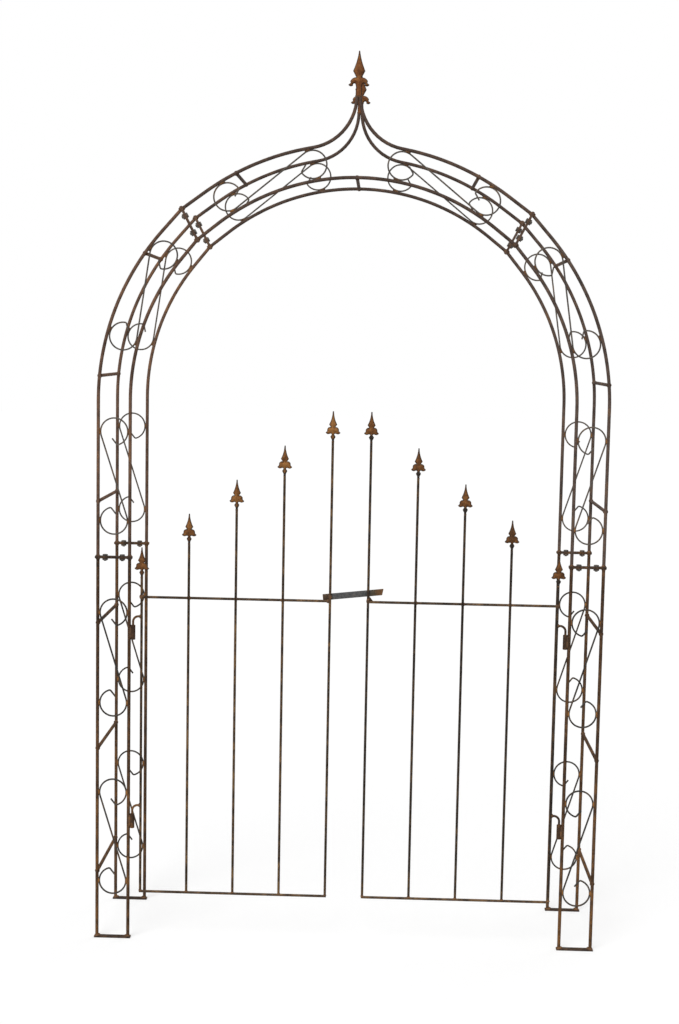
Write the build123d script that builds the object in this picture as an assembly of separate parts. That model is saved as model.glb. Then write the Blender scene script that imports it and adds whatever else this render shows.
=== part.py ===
# Garden arch of round steel bar with a pair of spear-topped gate leaves.
# Millimetres. +X is to the right seen from the front, +Y runs from front to back, +Z is up.
# The origin is on the ground at the middle of the footprint.

import os
from math import acos, asin, cos, degrees, radians, sin, sqrt

from build123d import *

# Arch frames
outer_rail_spread = 1300.0
frame_depth = 295.0
panel_width = 82.0
rail_diameter = 8.0
ogee_radius = 130.0
rail_meeting_gap = 0.3
base_thickness = 4.0

# Bolted joints between the sections
lower_joint_height = 1013.0
spring_rise = 405.0
outer_joint_angle = 47.7
inner_joint_angle = 45.5
joint_kink_angle = 6.25
plate_thickness = 3.0
plate_width = 16.0
plate_overhang = 3.0

# Rungs from the front frame to the back frame
rung_diameter = 8.0
post_rung_height_shares = (0.176, 0.5015, 0.83)
quarter_rung_rise_share = 0.356
quarter_rung_angles = (5.4, 34.9)
crown_rung_angle = 62.1

# Wire scrolls in the panels
wire_thickness = 4.0
post_scroll_pitch = 238.0
arch_scroll_pitch = 229.0
scroll_loop_end_angle = 71.0
scroll_hook_turn = 71.0
scroll_hook_radius = 5.0
scroll_hook_length = 18.0
post_scroll_height_shares = (0.2695, 0.74)
quarter_scroll_rise_share = 0.517
quarter_scroll_angle = 26.3
crown_scroll_angle = 68.6

# Gate leaves
leaf_bar_diameter = 6.0
leaf_rail_diameter = 6.0
leaf_bar_count = 5
meeting_stile_place = 49.0
bottom_rail_height = 127.0
upper_rail_drop = 102.0
lowest_spear_rise = 129.0
spear_tip_pitch = 90.0

# Hinges: hooks on the leaves that drop into sockets on the front inner rails
socket_diameter = 12.0
socket_length = 38.0
socket_floor = 4.0
socket_height_shares = (0.2423, 0.8814)
hook_diameter = 6.0
hook_rise = 23.0
hook_bend_radius = 14.0
hook_arm_length = 5.0
pin_clearance = 0.08
pin_end_gap = 0.2

# Latch: a flat bar that turns on a stud of the left leaf and lies on a catch of the right leaf
latch_length = 158.0
latch_width = 16.0
latch_thickness = 4.0
latch_tail_length = 19.0
latch_end_slant = 5.0
latch_rest_angle = 6.4
latch_pivot_rise = 11.0
latch_side_gap = 0.6
stud_diameter = 6.0
stud_head_diameter = 11.0
stud_head_thickness = 3.0
catch_foot_length = 9.0
catch_gap = 0.3

# Spearheads on the leaf bars and finials on the two frames
spear_height = 78.0
spear_span = 38.0
spear_thickness = 9.0
finial_height = 110.0
finial_span = 52.5
finial_thickness = 16.0

# Points down the right side of a spear: share of half the span, share of the height above the foot.
# They are the tip, hollow and widest place of the blade, the neck, the top and side of the shoulder,
# the waist, tip, underside, heel, hollow and root of the leaf, the stem and the knob.
spear_outline_shares = (
    (0.07, 1.0),
    (0.2, 0.78),
    (0.54, 0.565),
    (0.31, 0.485),
    (0.58, 0.472),
    (0.77, 0.42),
    (0.79, 0.35),
    (1.0, 0.3),
    (0.76, 0.252),
    (0.48, 0.256),
    (0.34, 0.266),
    (0.2, 0.262),
    (0.17, 0.22),
    (0.31, 0.13),
)
finial_outline_shares = (
    (0.07, 1.0),
    (0.24, 0.775),
    (0.58, 0.551),
    (0.26, 0.41),
    (0.64, 0.382),
    (0.83, 0.327),
    (0.79, 0.286),
    (1.0, 0.247),
    (0.78, 0.209),
    (0.56, 0.23),
    (0.46, 0.275),
    (0.32, 0.242),
    (0.27, 0.2),
    (0.3, 0.1),
)
tip_thickness_share = 0.3
belly_height_share = 0.4
ridge_reach_share = 1.5

overrun = 20.0

# Worked out from the sizes above
outer_rail_place = outer_rail_spread / 2
inner_rail_place = outer_rail_place - panel_width
panel_middle = (outer_rail_place + inner_rail_place) / 2
rail_radius = rail_diameter / 2
front_face = -frame_depth / 2
back_face = frame_depth / 2
leaf_plane = front_face
leaf_bar_radius = leaf_bar_diameter / 2
leaf_rail_radius = leaf_rail_diameter / 2
hinge_place = inner_rail_place - rail_radius - socket_diameter / 2
hinge_stile_place = hinge_place - hook_bend_radius - hook_arm_length - leaf_bar_radius
spring_height = lower_joint_height + spring_rise
upper_rail_height = lower_joint_height - upper_rail_drop
leaf_rail_spread = upper_rail_height - bottom_rail_height
socket_heights = [bottom_rail_height + share * leaf_rail_spread for share in socket_height_shares]
latch_pivot_height = upper_rail_height + latch_pivot_rise
latch_front = leaf_plane + leaf_bar_radius + latch_side_gap
latch_back = latch_front + latch_thickness
arch_centre = Vector(0, spring_height)


# The flat work is drawn with X to the right and Y up, then stood upright on a face of the arch.
def stood_up(shape, depth):
    return Pos(0, depth, 0) * Rot(90, 0, 0) * shape


def on_both_faces(shapes):
    return [stood_up(shape, depth) for depth in (front_face, back_face) for shape in shapes]


def mirrored(shapes):
    return [mirror(shape, about=Plane.YZ) for shape in shapes]


def on_arch(radius, angle):
    return arch_centre + Vector(radius * cos(radians(angle)), radius * sin(radians(angle)))


def bent_bar(edges, section):
    path = Wire(edges)
    start = Plane(origin=path @ 0, x_dir=(0, 0, 1), z_dir=path % 0)
    return sweep(start * section, path=path)


def straight_bar(start, end, diameter):
    run = Vector(*end) - Vector(*start)
    place = Plane(origin=start, z_dir=run)
    return place * Cylinder(diameter / 2, run.length, align=(Align.CENTER, Align.CENTER, Align.MIN))


def save(name, shapes):
    solids = [solid for shape in shapes for solid in shape.solids()]
    export_step(Compound(solids), f"parts/{name}.step")


def save_both_sides(name, right_shapes):
    save(f"right_{name}", right_shapes)
    save(f"left_{name}", mirrored(right_shapes))


# The plates of an upper joint lie along the line between the two corners where the rails kink.
def joint_corner(radius, angle):
    return on_arch(radius / cos(radians(joint_kink_angle)), angle)


outer_corner = joint_corner(outer_rail_place, outer_joint_angle)
inner_corner = joint_corner(inner_rail_place, inner_joint_angle)
joint_run = outer_corner - inner_corner
upper_joint = Plane(
    origin=(outer_corner + inner_corner) / 2,
    x_dir=joint_run,
    z_dir=Vector(-joint_run.Y, joint_run.X),
)
plate_allowance = rail_diameter + 2 * plate_overhang


def level_plate(height, thickness):
    box = Box(
        panel_width + plate_allowance,
        thickness,
        plate_width,
        align=(Align.CENTER, Align.MIN, Align.CENTER),
    )
    return Pos(panel_middle, height) * box


def slanted_plate(side):
    box = Box(
        joint_run.length + plate_allowance,
        plate_width,
        plate_thickness,
        align=(Align.CENTER, Align.CENTER, side),
    )
    return upper_joint * box


def post_rail(place):
    foot = (place, base_thickness)
    head = (place, lower_joint_height - plate_thickness)
    return straight_bar((*foot, 0), (*head, 0), rail_diameter)


# A quarter rail runs up to the spring line, follows the arch and ends straight at the upper joint.
def quarter_rail(radius, joint_angle):
    arc_size = joint_angle - joint_kink_angle
    corner = joint_corner(radius, joint_angle)
    arc_end = on_arch(radius, arc_size)
    past_corner = corner + (corner - arc_end).normalized() * overrun
    bar = bent_bar(
        [
            Line((radius, lower_joint_height + plate_thickness), (radius, spring_height)),
            CenterArc(arch_centre, radius, 0, arc_size),
            Line(arc_end, past_corner),
        ],
        Circle(rail_radius),
    )
    return split(bar, bisect_by=upper_joint.offset(-plate_thickness), keep=Keep.BOTTOM)


# A crown rail starts straight at the upper joint and then follows the arch.
def crown_rail(radius, joint_angle, arc_end_angle, further_edges):
    arc_start_angle = joint_angle + joint_kink_angle
    corner = joint_corner(radius, joint_angle)
    arc_start = on_arch(radius, arc_start_angle)
    before_corner = corner + (corner - arc_start).normalized() * overrun
    bar = bent_bar(
        [
            Line(before_corner, arc_start),
            CenterArc(arch_centre, radius, arc_start_angle, arc_end_angle - arc_start_angle),
            *further_edges,
        ],
        Circle(rail_radius),
    )
    return split(bar, bisect_by=upper_joint.offset(plate_thickness), keep=Keep.TOP)


# The outer crown rail turns up in a reverse curve and ends upright under the finial.
ogee_reach = outer_rail_place + ogee_radius
ogee_place = rail_radius + rail_meeting_gap / 2 + ogee_radius
ogee_height = spring_height + sqrt(ogee_reach**2 - ogee_place**2)
ogee_angle = degrees(acos(ogee_place / ogee_reach))


def crown_outer_rail():
    reverse_curve = CenterArc((ogee_place, ogee_height), ogee_radius, 180 + ogee_angle, -ogee_angle)
    return crown_rail(outer_rail_place, outer_joint_angle, ogee_angle, [reverse_curve])


def crown_inner_rail():
    half = crown_rail(inner_rail_place, inner_joint_angle, 90, [])
    return half + mirror(half, about=Plane.YZ)


def rung(place):
    start = (place.X, front_face + rail_radius, place.Y)
    end = (place.X, back_face - rail_radius, place.Y)
    return straight_bar(start, end, rung_diameter)


# A scroll is an S of wire: two loops that span the panel, a slanting run between them, bent-in ends.
def scroll(pitch):
    loop_radius = (panel_width - rail_diameter - wire_thickness) / 2
    slant = degrees(asin(2 * loop_radius / pitch))
    loop = CenterArc((0, pitch / 2), loop_radius, -slant, slant + 180 + scroll_loop_end_angle)
    bend = JernArc(loop @ 1, loop % 1, scroll_hook_radius, scroll_hook_turn)
    hook = Line(bend @ 1, (bend @ 1) + (bend % 1) * scroll_hook_length)
    half = bent_bar([Line((0, 0), loop @ 0), loop, bend, hook], Circle(wire_thickness / 2))
    return half + Rot(0, 0, 180) * half


def scroll_on_arch(angle):
    middle_radius = sqrt(panel_middle**2 - (arch_scroll_pitch / 2) ** 2)
    middle = on_arch(middle_radius, angle)
    return Pos(middle.X, middle.Y) * Rot(0, 0, angle) * scroll(arch_scroll_pitch)


# Spear: the outline, thinned from a ridge in the middle to its edges and from its belly to its tip.
def spear(outline_shares, height, span, thickness, foot_width, foot_thickness):
    points = [Vector(across * span / 2, up * height) for across, up in outline_shares]
    tip, blade_hollow, blade_side, neck, shoulder_top, shoulder = points[:6]
    leaf_waist, leaf_tip, leaf_underside, leaf_heel, leaf_hollow, leaf_root, stem, knob = points[6:]
    right_edges = [
        Line((0, height), tip),
        ThreePointArc(tip, blade_hollow, blade_side),
        Line(blade_side, neck),
        ThreePointArc(neck, shoulder_top, shoulder),
        Line(shoulder, leaf_waist),
        Line(leaf_waist, leaf_tip),
        ThreePointArc(leaf_tip, leaf_underside, leaf_heel),
        ThreePointArc(leaf_heel, leaf_hollow, leaf_root),
        Line(leaf_root, stem),
        Line(stem, knob),
        Line(knob, (foot_width / 2, 0)),
        Line((foot_width / 2, 0), (0, 0)),
    ]
    left_edges = [edge.mirror(Plane.YZ) for edge in right_edges]
    outline = extrude(make_face(right_edges + left_edges), thickness / 2, both=True)
    reach = ridge_reach_share * span / 2
    ridge = Polygon((-reach, 0), (0, -thickness / 2), (reach, 0), (0, thickness / 2), align=None)
    ridge_bar = extrude(Plane.XZ * ridge, -height)
    side_half = [
        (foot_thickness / 2, 0),
        (thickness / 2, knob.Y),
        (thickness / 2, belly_height_share * height),
        (tip_thickness_share * thickness / 2, height),
    ]
    side = Polygon(*side_half, *[(-across, up) for across, up in reversed(side_half)], align=None)
    side_bar = extrude(Plane.ZY * side, span, both=True)
    return outline & ridge_bar & side_bar


# Leaf, drawn for the right-hand side of the gate
leaf_bar_pitch = (hinge_stile_place - meeting_stile_place) / (leaf_bar_count - 1)
leaf_bar_places = [hinge_stile_place - index * leaf_bar_pitch for index in range(leaf_bar_count)]
lowest_spear_tip = upper_rail_height + lowest_spear_rise
spear_tip_heights = [lowest_spear_tip + index * spear_tip_pitch for index in range(leaf_bar_count)]


def leaf_bar(place, tip_height):
    foot = (place, leaf_plane, bottom_rail_height + leaf_rail_radius)
    head = (place, leaf_plane, tip_height - spear_height)
    return straight_bar(foot, head, leaf_bar_diameter)


def leaf_spear(place, tip_height):
    foot = leaf_bar_diameter
    head = spear(spear_outline_shares, spear_height, spear_span, spear_thickness, foot, foot)
    return stood_up(Pos(place, tip_height - spear_height) * head, leaf_plane)


def leaf_bottom_rail():
    start = (hinge_stile_place + leaf_bar_radius, leaf_plane, bottom_rail_height)
    end = (meeting_stile_place - leaf_bar_radius, leaf_plane, bottom_rail_height)
    return straight_bar(start, end, leaf_rail_diameter)


def leaf_upper_rail_piece(outside, inside):
    start = (outside - leaf_bar_radius, leaf_plane, upper_rail_height)
    end = (inside + leaf_bar_radius, leaf_plane, upper_rail_height)
    return straight_bar(start, end, leaf_rail_diameter)


def socket(height):
    up = (Align.CENTER, Align.CENTER, Align.MIN)
    tube = Cylinder(socket_diameter / 2, socket_length, align=up)
    bore = Cylinder(hook_diameter / 2 + pin_clearance, socket_length, align=up)
    bored_tube = tube - Pos(0, 0, socket_floor) * bore
    return Pos(hinge_place, leaf_plane, height - socket_length / 2) * bored_tube


def hinge_hook(height):
    pin_foot = height - socket_length / 2 + socket_floor + pin_end_gap
    arm_height = height + socket_length / 2 + hook_rise
    pin = Line((hinge_place, pin_foot), (hinge_place, arm_height - hook_bend_radius))
    bend = JernArc(pin @ 1, pin % 1, hook_bend_radius, 90)
    arm = Line(bend @ 1, (hinge_stile_place + leaf_bar_radius, arm_height))
    return stood_up(bent_bar([pin, bend, arm], Circle(hook_diameter / 2)), leaf_plane)


# Latch, on the left-hand meeting stile
def latch_bar():
    head = latch_length - latch_tail_length
    corners = [
        (-latch_tail_length, -latch_width / 2),
        (head - latch_end_slant, -latch_width / 2),
        (head, latch_width / 2),
        (-latch_tail_length, latch_width / 2),
    ]
    bar = extrude(make_face(Polyline(*corners, close=True)), -latch_thickness)
    hole = Cylinder(stud_diameter / 2 + pin_clearance, latch_thickness + overrun)
    pivot = Pos(-meeting_stile_place, latch_pivot_height)
    return stood_up(pivot * Rot(0, 0, latch_rest_angle) * (bar - hole), latch_front)


def latch_stud():
    head_depth = latch_back + latch_side_gap
    shank_start = (-meeting_stile_place, leaf_plane + leaf_bar_radius, latch_pivot_height)
    head_start = (-meeting_stile_place, head_depth, latch_pivot_height)
    head_end = (-meeting_stile_place, head_depth + stud_head_thickness, latch_pivot_height)
    shank = straight_bar(shank_start, head_end, stud_diameter)
    return shank + straight_bar(head_start, head_end, stud_head_diameter)


def latch_catch():
    foot_height = upper_rail_height + leaf_rail_radius
    side = meeting_stile_place + leaf_bar_radius
    lift = radians(latch_rest_angle)
    bar_underside = (
        latch_pivot_height
        + (side + meeting_stile_place) * sin(lift) / cos(lift)
        - latch_width / 2 / cos(lift)
    )
    corners = [
        (side, foot_height),
        (side + catch_foot_length, foot_height),
        (side, bar_underside - catch_gap),
    ]
    depth = latch_back - leaf_plane + leaf_bar_radius
    wedge = extrude(make_face(Polyline(*corners, close=True)), -depth)
    return stood_up(wedge, leaf_plane - leaf_bar_radius)


os.makedirs("parts", exist_ok=True)

# Posts
post_rails = [post_rail(outer_rail_place), post_rail(inner_rail_place)]
post_top_plate = level_plate(lower_joint_height - plate_thickness, plate_thickness)
post_rung_heights = [share * lower_joint_height for share in post_rung_height_shares]
post_scroll_heights = [share * lower_joint_height for share in post_scroll_height_shares]
post_scrolls = [Pos(panel_middle, height) * scroll(post_scroll_pitch) for height in post_scroll_heights]
save_both_sides("post_base_bars", on_both_faces([level_plate(0, base_thickness)]))
save_both_sides("post_rails", on_both_faces(post_rails))
save_both_sides("post_top_plates", on_both_faces([post_top_plate]))
save_both_sides("post_rungs", [rung(Vector(outer_rail_place, height)) for height in post_rung_heights])
save_both_sides("post_scrolls", on_both_faces(post_scrolls))
save_both_sides("hinge_sockets", [socket(height) for height in socket_heights])

# Quarter arches
quarter_rails = [
    quarter_rail(outer_rail_place, outer_joint_angle),
    quarter_rail(inner_rail_place, inner_joint_angle),
]
quarter_rung_height = lower_joint_height + quarter_rung_rise_share * spring_rise
quarter_scroll_height = lower_joint_height + quarter_scroll_rise_share * spring_rise
quarter_rung_places = [Vector(outer_rail_place, quarter_rung_height)]
quarter_rung_places += [on_arch(outer_rail_place, angle) for angle in quarter_rung_angles]
quarter_scrolls = [
    Pos(panel_middle, quarter_scroll_height) * scroll(arch_scroll_pitch),
    scroll_on_arch(quarter_scroll_angle),
]
quarter_lower_plate = level_plate(lower_joint_height, plate_thickness)
save_both_sides("quarter_lower_plates", on_both_faces([quarter_lower_plate]))
save_both_sides("quarter_rails", on_both_faces(quarter_rails))
save_both_sides("quarter_upper_plates", on_both_faces([slanted_plate(Align.MAX)]))
save_both_sides("quarter_rungs", [rung(place) for place in quarter_rung_places])
save_both_sides("quarter_scrolls", on_both_faces(quarter_scrolls))

# Crown
crown_plates = on_both_faces([slanted_plate(Align.MIN)])
crown_outer_rails = on_both_faces([crown_outer_rail()])
crown_scrolls = on_both_faces([scroll_on_arch(crown_scroll_angle)])
side_rungs = [rung(on_arch(outer_rail_place, crown_rung_angle))]
middle_rung = rung(on_arch(inner_rail_place, 90))
save("crown_plates", crown_plates + mirrored(crown_plates))
save("crown_outer_rails", crown_outer_rails + mirrored(crown_outer_rails))
save("crown_inner_rails", on_both_faces([crown_inner_rail()]))
save("crown_rungs", side_rungs + mirrored(side_rungs) + [middle_rung])
save("crown_scrolls", crown_scrolls + mirrored(crown_scrolls))

finial = Pos(0, ogee_height) * spear(
    finial_outline_shares,
    finial_height,
    finial_span,
    finial_thickness,
    2 * rail_diameter,
    rail_diameter,
)
save("front_finial", [stood_up(finial, front_face)])
save("back_finial", [stood_up(finial, back_face)])

# Gate leaves
bars_and_tips = list(zip(leaf_bar_places, spear_tip_heights))
neighbours = list(zip(leaf_bar_places, leaf_bar_places[1:]))
save_both_sides("leaf_bars", [leaf_bar(place, tip) for place, tip in bars_and_tips])
save_both_sides("leaf_spearheads", [leaf_spear(place, tip) for place, tip in bars_and_tips])
save_both_sides("leaf_bottom_rail", [leaf_bottom_rail()])
save_both_sides("leaf_upper_rail", [leaf_upper_rail_piece(*pair) for pair in neighbours])
save_both_sides("leaf_hinge_hooks", [hinge_hook(height) for height in socket_heights])
save("latch_bar", [latch_bar()])
save("latch_stud", [latch_stud()])
save("latch_catch", [latch_catch()])
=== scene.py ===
import math

import bmesh
import bpy
from mathutils import Matrix, Vector, noise


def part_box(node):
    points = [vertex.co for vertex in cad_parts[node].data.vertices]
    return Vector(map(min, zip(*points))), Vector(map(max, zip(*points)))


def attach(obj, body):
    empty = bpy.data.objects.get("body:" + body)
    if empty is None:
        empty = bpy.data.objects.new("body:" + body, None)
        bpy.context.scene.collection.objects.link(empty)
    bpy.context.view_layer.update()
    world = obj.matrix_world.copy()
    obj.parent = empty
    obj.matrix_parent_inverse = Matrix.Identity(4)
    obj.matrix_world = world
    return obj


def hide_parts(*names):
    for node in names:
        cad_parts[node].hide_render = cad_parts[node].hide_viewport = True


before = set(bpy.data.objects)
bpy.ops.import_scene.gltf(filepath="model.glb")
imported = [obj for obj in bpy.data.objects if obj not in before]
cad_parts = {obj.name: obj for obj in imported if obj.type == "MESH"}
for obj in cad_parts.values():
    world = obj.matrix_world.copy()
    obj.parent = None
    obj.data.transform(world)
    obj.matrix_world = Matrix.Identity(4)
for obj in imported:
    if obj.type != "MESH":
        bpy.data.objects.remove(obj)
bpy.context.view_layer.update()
print("frame loaded:", len(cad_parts), "nodes")

# main lines of the gate in metres and degrees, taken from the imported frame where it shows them
stock = {"rail": 0.004, "rung": 0.004, "wire": 0.002, "leafBar": 0.003, "hook": 0.003}  # bar radii
arch = {"spring": 1.418, "outerJoint": 47.7, "innerJoint": 45.5, "kink": 6.25,  # a height and angles
        "ogee": 0.13, "meetingGap": 0.0003}  # bend below the finials, gap between the bars that meet there
plate = {"thick": 0.003, "wide": 0.016, "beyond": 0.014, "edge": 0.0007}
barMesh = {"rim": 16, "stride": 0.014, "bendStep": 7}  # sides, longest step in metres and in degrees
pitNoise = ((85, 0.6), (260, 0.4))  # scale and share of the coarse and the fine rust pits
mergeGap = 1e-6
cutGap = 1e-5
postLow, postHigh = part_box("right_post_rails")
outerRail = postHigh[0] - stock["rail"]
innerRail = postLow[0] + stock["rail"]
face = postHigh[1] - stock["rail"]  # front frame at -face, back frame at +face
baseTop = postLow[2]
panelMiddle = (outerRail + innerRail) / 2
panelWidth = outerRail - innerRail
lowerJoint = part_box("right_quarter_lower_plates")[0][2]
faces = (-face, face)
sides = (("right", False), ("left", True))  # the left side is the right one mirrored


def headingVector(heading):
    return Vector((math.cos(math.radians(heading)), 0.0, math.sin(math.radians(heading))))


def onArch(radius, angle, y=0.0):
    return Vector((0.0, y, arch["spring"])) + headingVector(angle) * radius


def turned(angle):  # a turn to the left seen from the front
    return Matrix.Rotation(-math.radians(angle), 4, "Y")


def shifted(x, y, z):
    return Matrix.Translation((x, y, z))


def isVert(part):
    return isinstance(part, bmesh.types.BMVert)


def edgesOf(verts):
    return list(dict.fromkeys(edge for vert in verts for edge in vert.link_edges))


def allOf(bm):
    return bm.verts[:] + bm.edges[:] + bm.faces[:]


def bevelEdges(bm, edges, offset):
    bmesh.ops.bevel(bm, geom=edges, offset=offset, segments=2, profile=0.5, affect="EDGES", material=-1)


def mirrorX(bm):  # the halves stay apart
    bmesh.ops.mirror(bm, geom=allOf(bm), axis="X", merge_dist=-1)


# bars are rings of vertices pushed along straight runs and spun round bends
def bendCentre(point, heading, radius, bend):
    return point + headingVector(heading + math.copysign(90, bend)) * radius


def walk(point, heading, moves):  # where a bar ends
    for distance, bend in moves:
        if bend:
            centre = bendCentre(point, heading, distance, bend)
            heading += bend
            point = centre - headingVector(heading + math.copysign(90, bend)) * distance
        else:
            point = point + headingVector(heading) * distance
    return point, heading


def ringEdges(geom):
    return [part for part in geom if isinstance(part, bmesh.types.BMEdge) and part.is_boundary]


def drawBar(bm, point, heading, moves, radius, rim=barMesh["rim"], stride=barMesh["stride"],
            place=Matrix()):
    # a move is (length, 0) for a straight run, or (bend radius, degrees to the left)
    turn = place.to_3x3()
    ringPlace = place @ Matrix.Translation(point) @ Matrix.Rotation(math.radians(90 - heading), 4, "Y")
    ring = edgesOf(bmesh.ops.create_circle(bm, segments=rim, radius=radius, matrix=ringPlace)["verts"])
    start = ring
    for distance, bend in moves:
        if bend:
            centre = bendCentre(point, heading, distance, bend)
            arcLength = abs(math.radians(bend)) * distance
            steps = max(2, math.ceil(abs(bend) / barMesh["bendStep"]), round(arcLength / stride))
            corners = list(dict.fromkeys(vert for edge in ring for vert in edge.verts))
            axis = turn @ Vector((0, -1, 0))
            made = bmesh.ops.spin(bm, geom=corners + ring, cent=place @ centre, axis=axis,
                                  angle=math.radians(bend), steps=steps, use_duplicate=False)
            ring = ringEdges(made["geom_last"])
        else:
            steps = max(1, round(distance / stride))
            push = turn @ headingVector(heading) * (distance / steps)
            for step in range(steps):
                made = bmesh.ops.extrude_edge_only(bm, edges=ring)["geom"]
                bmesh.ops.translate(bm, vec=push, verts=[part for part in made if isVert(part)])
                ring = ringEdges(made)
        point, heading = walk(point, heading, [(distance, bend)])
    for end in (start, ring):
        bmesh.ops.edgeloop_fill(bm, edges=end)


def drawLathe(bm, profile, place, steps=24):  # a few points spun round the local z axis
    points = [bm.verts.new(place @ Vector((radius, 0, height))) for radius, height in profile]
    strip = [bm.edges.new(pair) for pair in zip(points, points[1:])]
    axis = place.to_3x3() @ Vector((0, 0, 1))
    bmesh.ops.spin(bm, geom=points + strip, cent=place.translation, axis=axis, angle=math.tau,
                   steps=steps, use_merge=True)


def growCrust(bm, pits, swell):  # rust pits and the thickness of the scale, the same each run
    bm.normal_update()
    for vert in bm.verts:
        wave = sum(share * noise.noise(vert.co * scale) for scale, share in pitNoise)
        vert.co += vert.normal * (pits * wave + swell)


def makePiece(name, body, finish, build, nodes=(), mirrored=False, crust=None, sharp=35):
    bm = bmesh.new()
    build(bm)
    if mirrored:
        bmesh.ops.scale(bm, vec=(-1, 1, 1), verts=bm.verts)
    bmesh.ops.remove_doubles(bm, verts=bm.verts, dist=mergeGap)
    bmesh.ops.recalc_face_normals(bm, faces=bm.faces)
    if crust:
        growCrust(bm, *crust)
    mesh = bpy.data.meshes.new(name)
    bm.to_mesh(mesh)
    bm.free()
    mesh.shade_smooth()
    mesh.set_sharp_from_angle(angle=math.radians(sharp))
    material, slot = finishes[finish]
    mesh.materials.append(material)
    piece = bpy.data.objects.new(name, mesh)
    bpy.context.scene.collection.objects.link(piece)
    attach(piece, body)
    if nodes:
        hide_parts(*nodes)


# rust runs from near-black scale through browns to orange bloom, in patches of one to three centimetres
clouds = {"patch": (7, 0.65, 0.3), "drift": (3, 0.5, 0.0),  # detail, roughness and distortion of a noise
          "grain": (4, 0.7, 0.0), "spots": (6, 0.6, 0.2)}
rust = {"stops": (0.2, 0.42, 0.58, 0.8), "speckle": ((0.34, 0.25), (0.6, 1.0)),  # levels of the noises
        "fleck": (0.58, 0.64), "pit": (0.42, 0.36), "stainStops": (0.35, 0.65), "roughStops": (0.3, 0.7),
        "pitShade": 0.5, "roughDrop": 0.15,
        "bumps": (("patch", 0.0009), ("spots", 0.0007), ("grain", 0.0004))}  # depths in metres


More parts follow.
